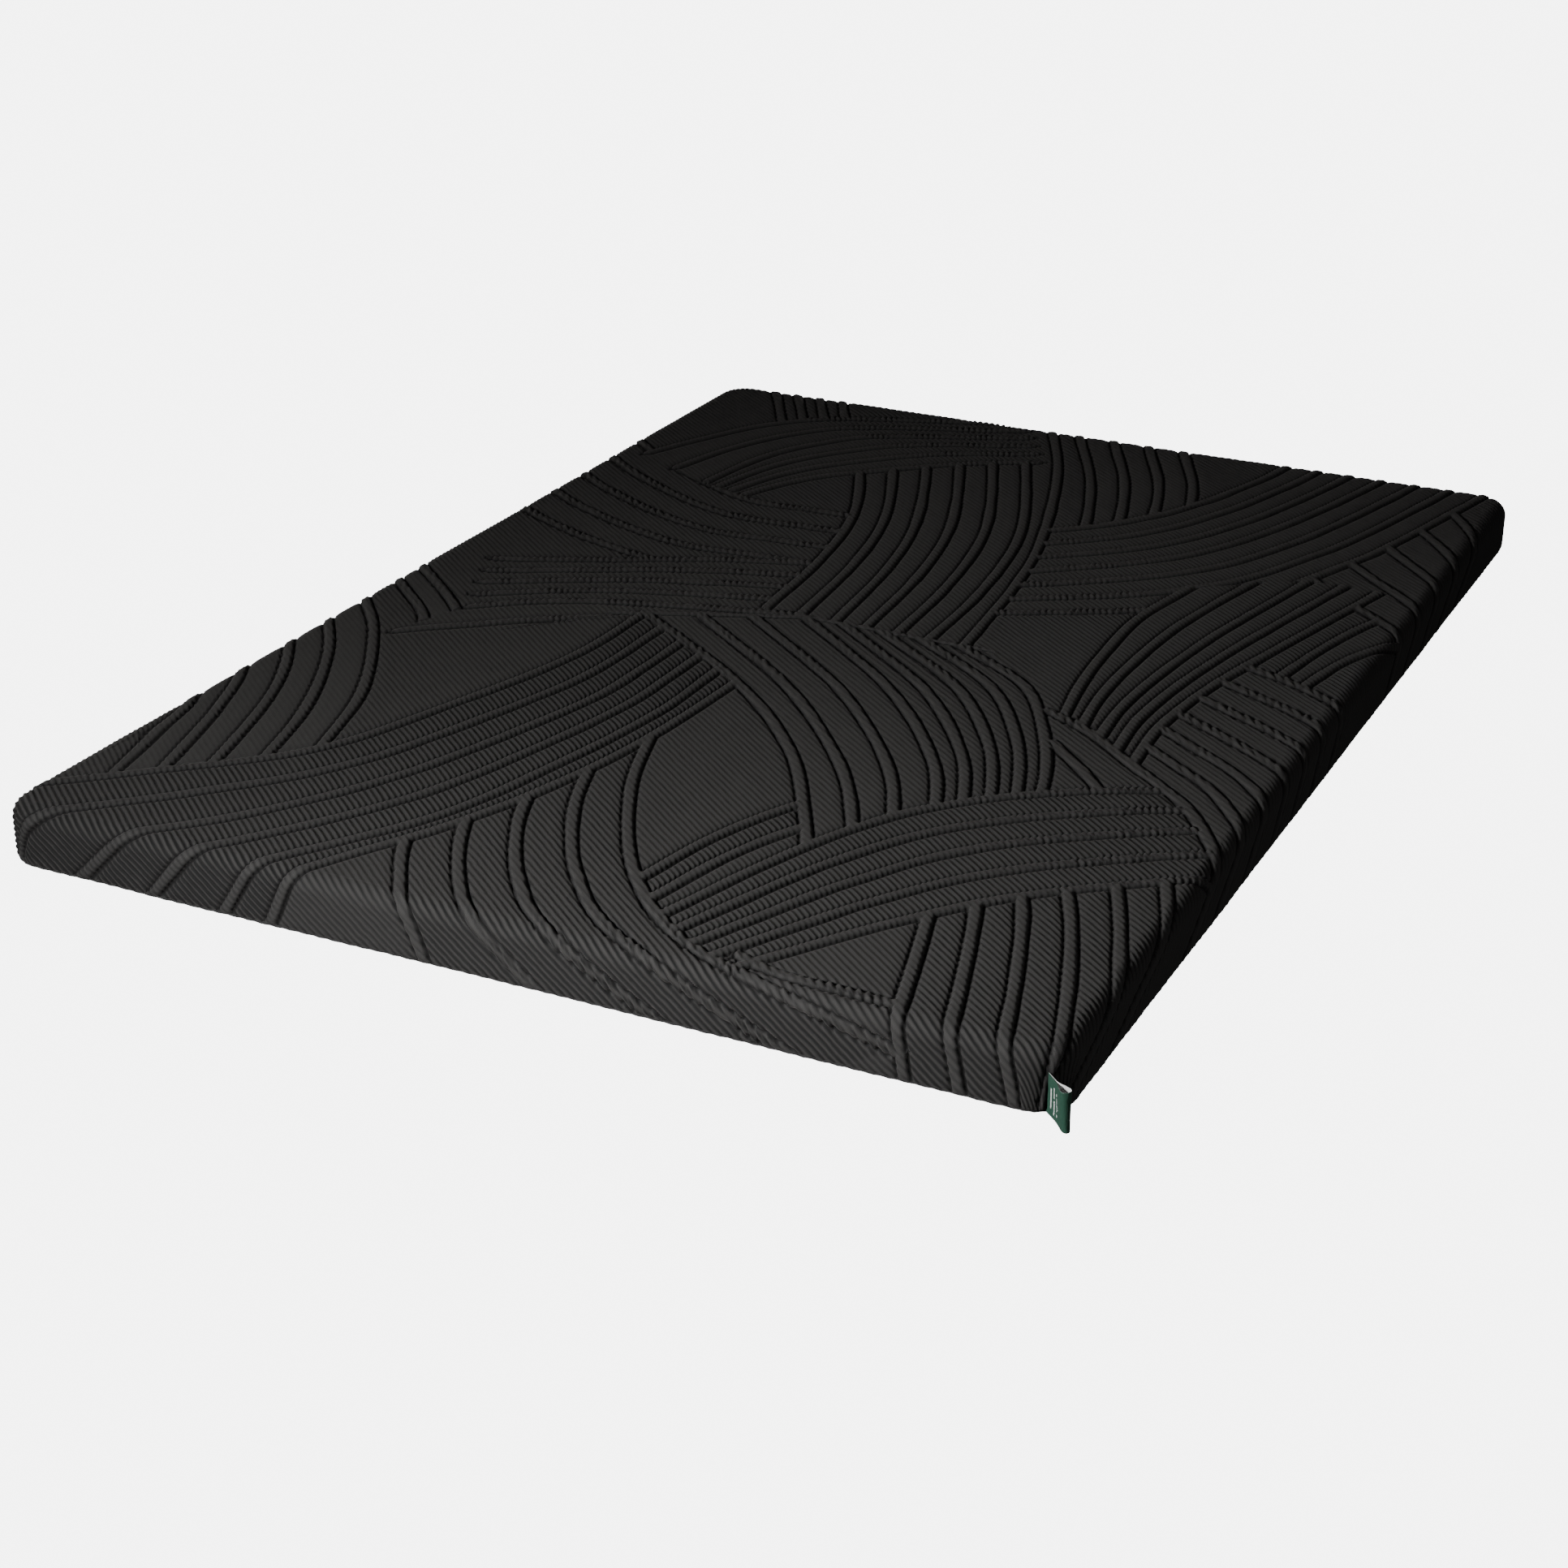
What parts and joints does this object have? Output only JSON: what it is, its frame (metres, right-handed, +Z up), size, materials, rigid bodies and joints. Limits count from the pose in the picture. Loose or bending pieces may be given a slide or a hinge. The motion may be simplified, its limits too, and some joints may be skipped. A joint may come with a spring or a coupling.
{
  "type": "futon mattress",
  "caption": "Thin one-piece foam floor mattress in a removable black knitted cover with raised curved tubes, a zip at the foot end and a folded side label.",
  "frame": {"origin": "centre of the underside, on the plane that rests on the floor", "axes": "+Z up through the thickness, +Y along the length towards the foot end with the zip, +X across the width"},
  "size_m": [1.4156, 2.0292, 0.08],
  "materials": {
    "knit_top": "black and charcoal double-jacquard knit with raised filled tubes, matt",
    "base_cloth": "dark tricot base cloth, matt",
    "seam_tape": "black woven binding tape",
    "sock_knit": "white stockinette",
    "core_foam": "open-cell polyurethane foam, firm",
    "comfort_foam": "open-cell polyurethane foam, soft",
    "zip_tape": "black woven zip tape",
    "zip_coil": "black nylon coil",
    "zip_metal": "black enamelled zinc",
    "label_weave": "green damask woven label, white inside",
    "care_satin": "plain white satin ribbon"
  },
  "bodies": {
    "mattress": {"cover_top": "knit_top", "cover_base": "base_cloth", "base_seam_binding": "seam_tape", "corner_seam_binding_front_left": "seam_tape", "corner_seam_binding_front_right": "seam_tape", "corner_seam_binding_rear_left": "seam_tape", "corner_seam_binding_rear_right": "seam_tape", "inner_sock": "sock_knit", "inner_sock_seam": "sock_knit", "support_core": "core_foam", "comfort_layer": "comfort_foam", "zip_tape_upper": "zip_tape", "zip_tape_lower": "zip_tape", "zip_coil_upper": "zip_coil", "zip_coil_lower": "zip_coil", "zip_top_stops": "zip_metal", "zip_bottom_stop": "zip_metal", "side_label": "label_weave", "care_label": "care_satin"},
    "zip_slider": {"zip_slider": "zip_metal"},
    "zip_puller": {"zip_puller": "zip_metal"}
  },
  "joints": [
    {"name": "zip_slide", "type": "slide", "parent": "mattress", "child": "zip_slider", "axis": [1, 0, 0], "range_m": [-1.185, 0], "deforming": ["zip_coil_upper", "zip_coil_lower"]},
    {"name": "puller_hinge", "type": "hinge", "parent": "zip_slider", "child": "zip_puller", "pos_m": [0.5965, 1.0025, 0.021], "axis": [0, 0, 1], "range_deg": [0, 180]}
  ]
}
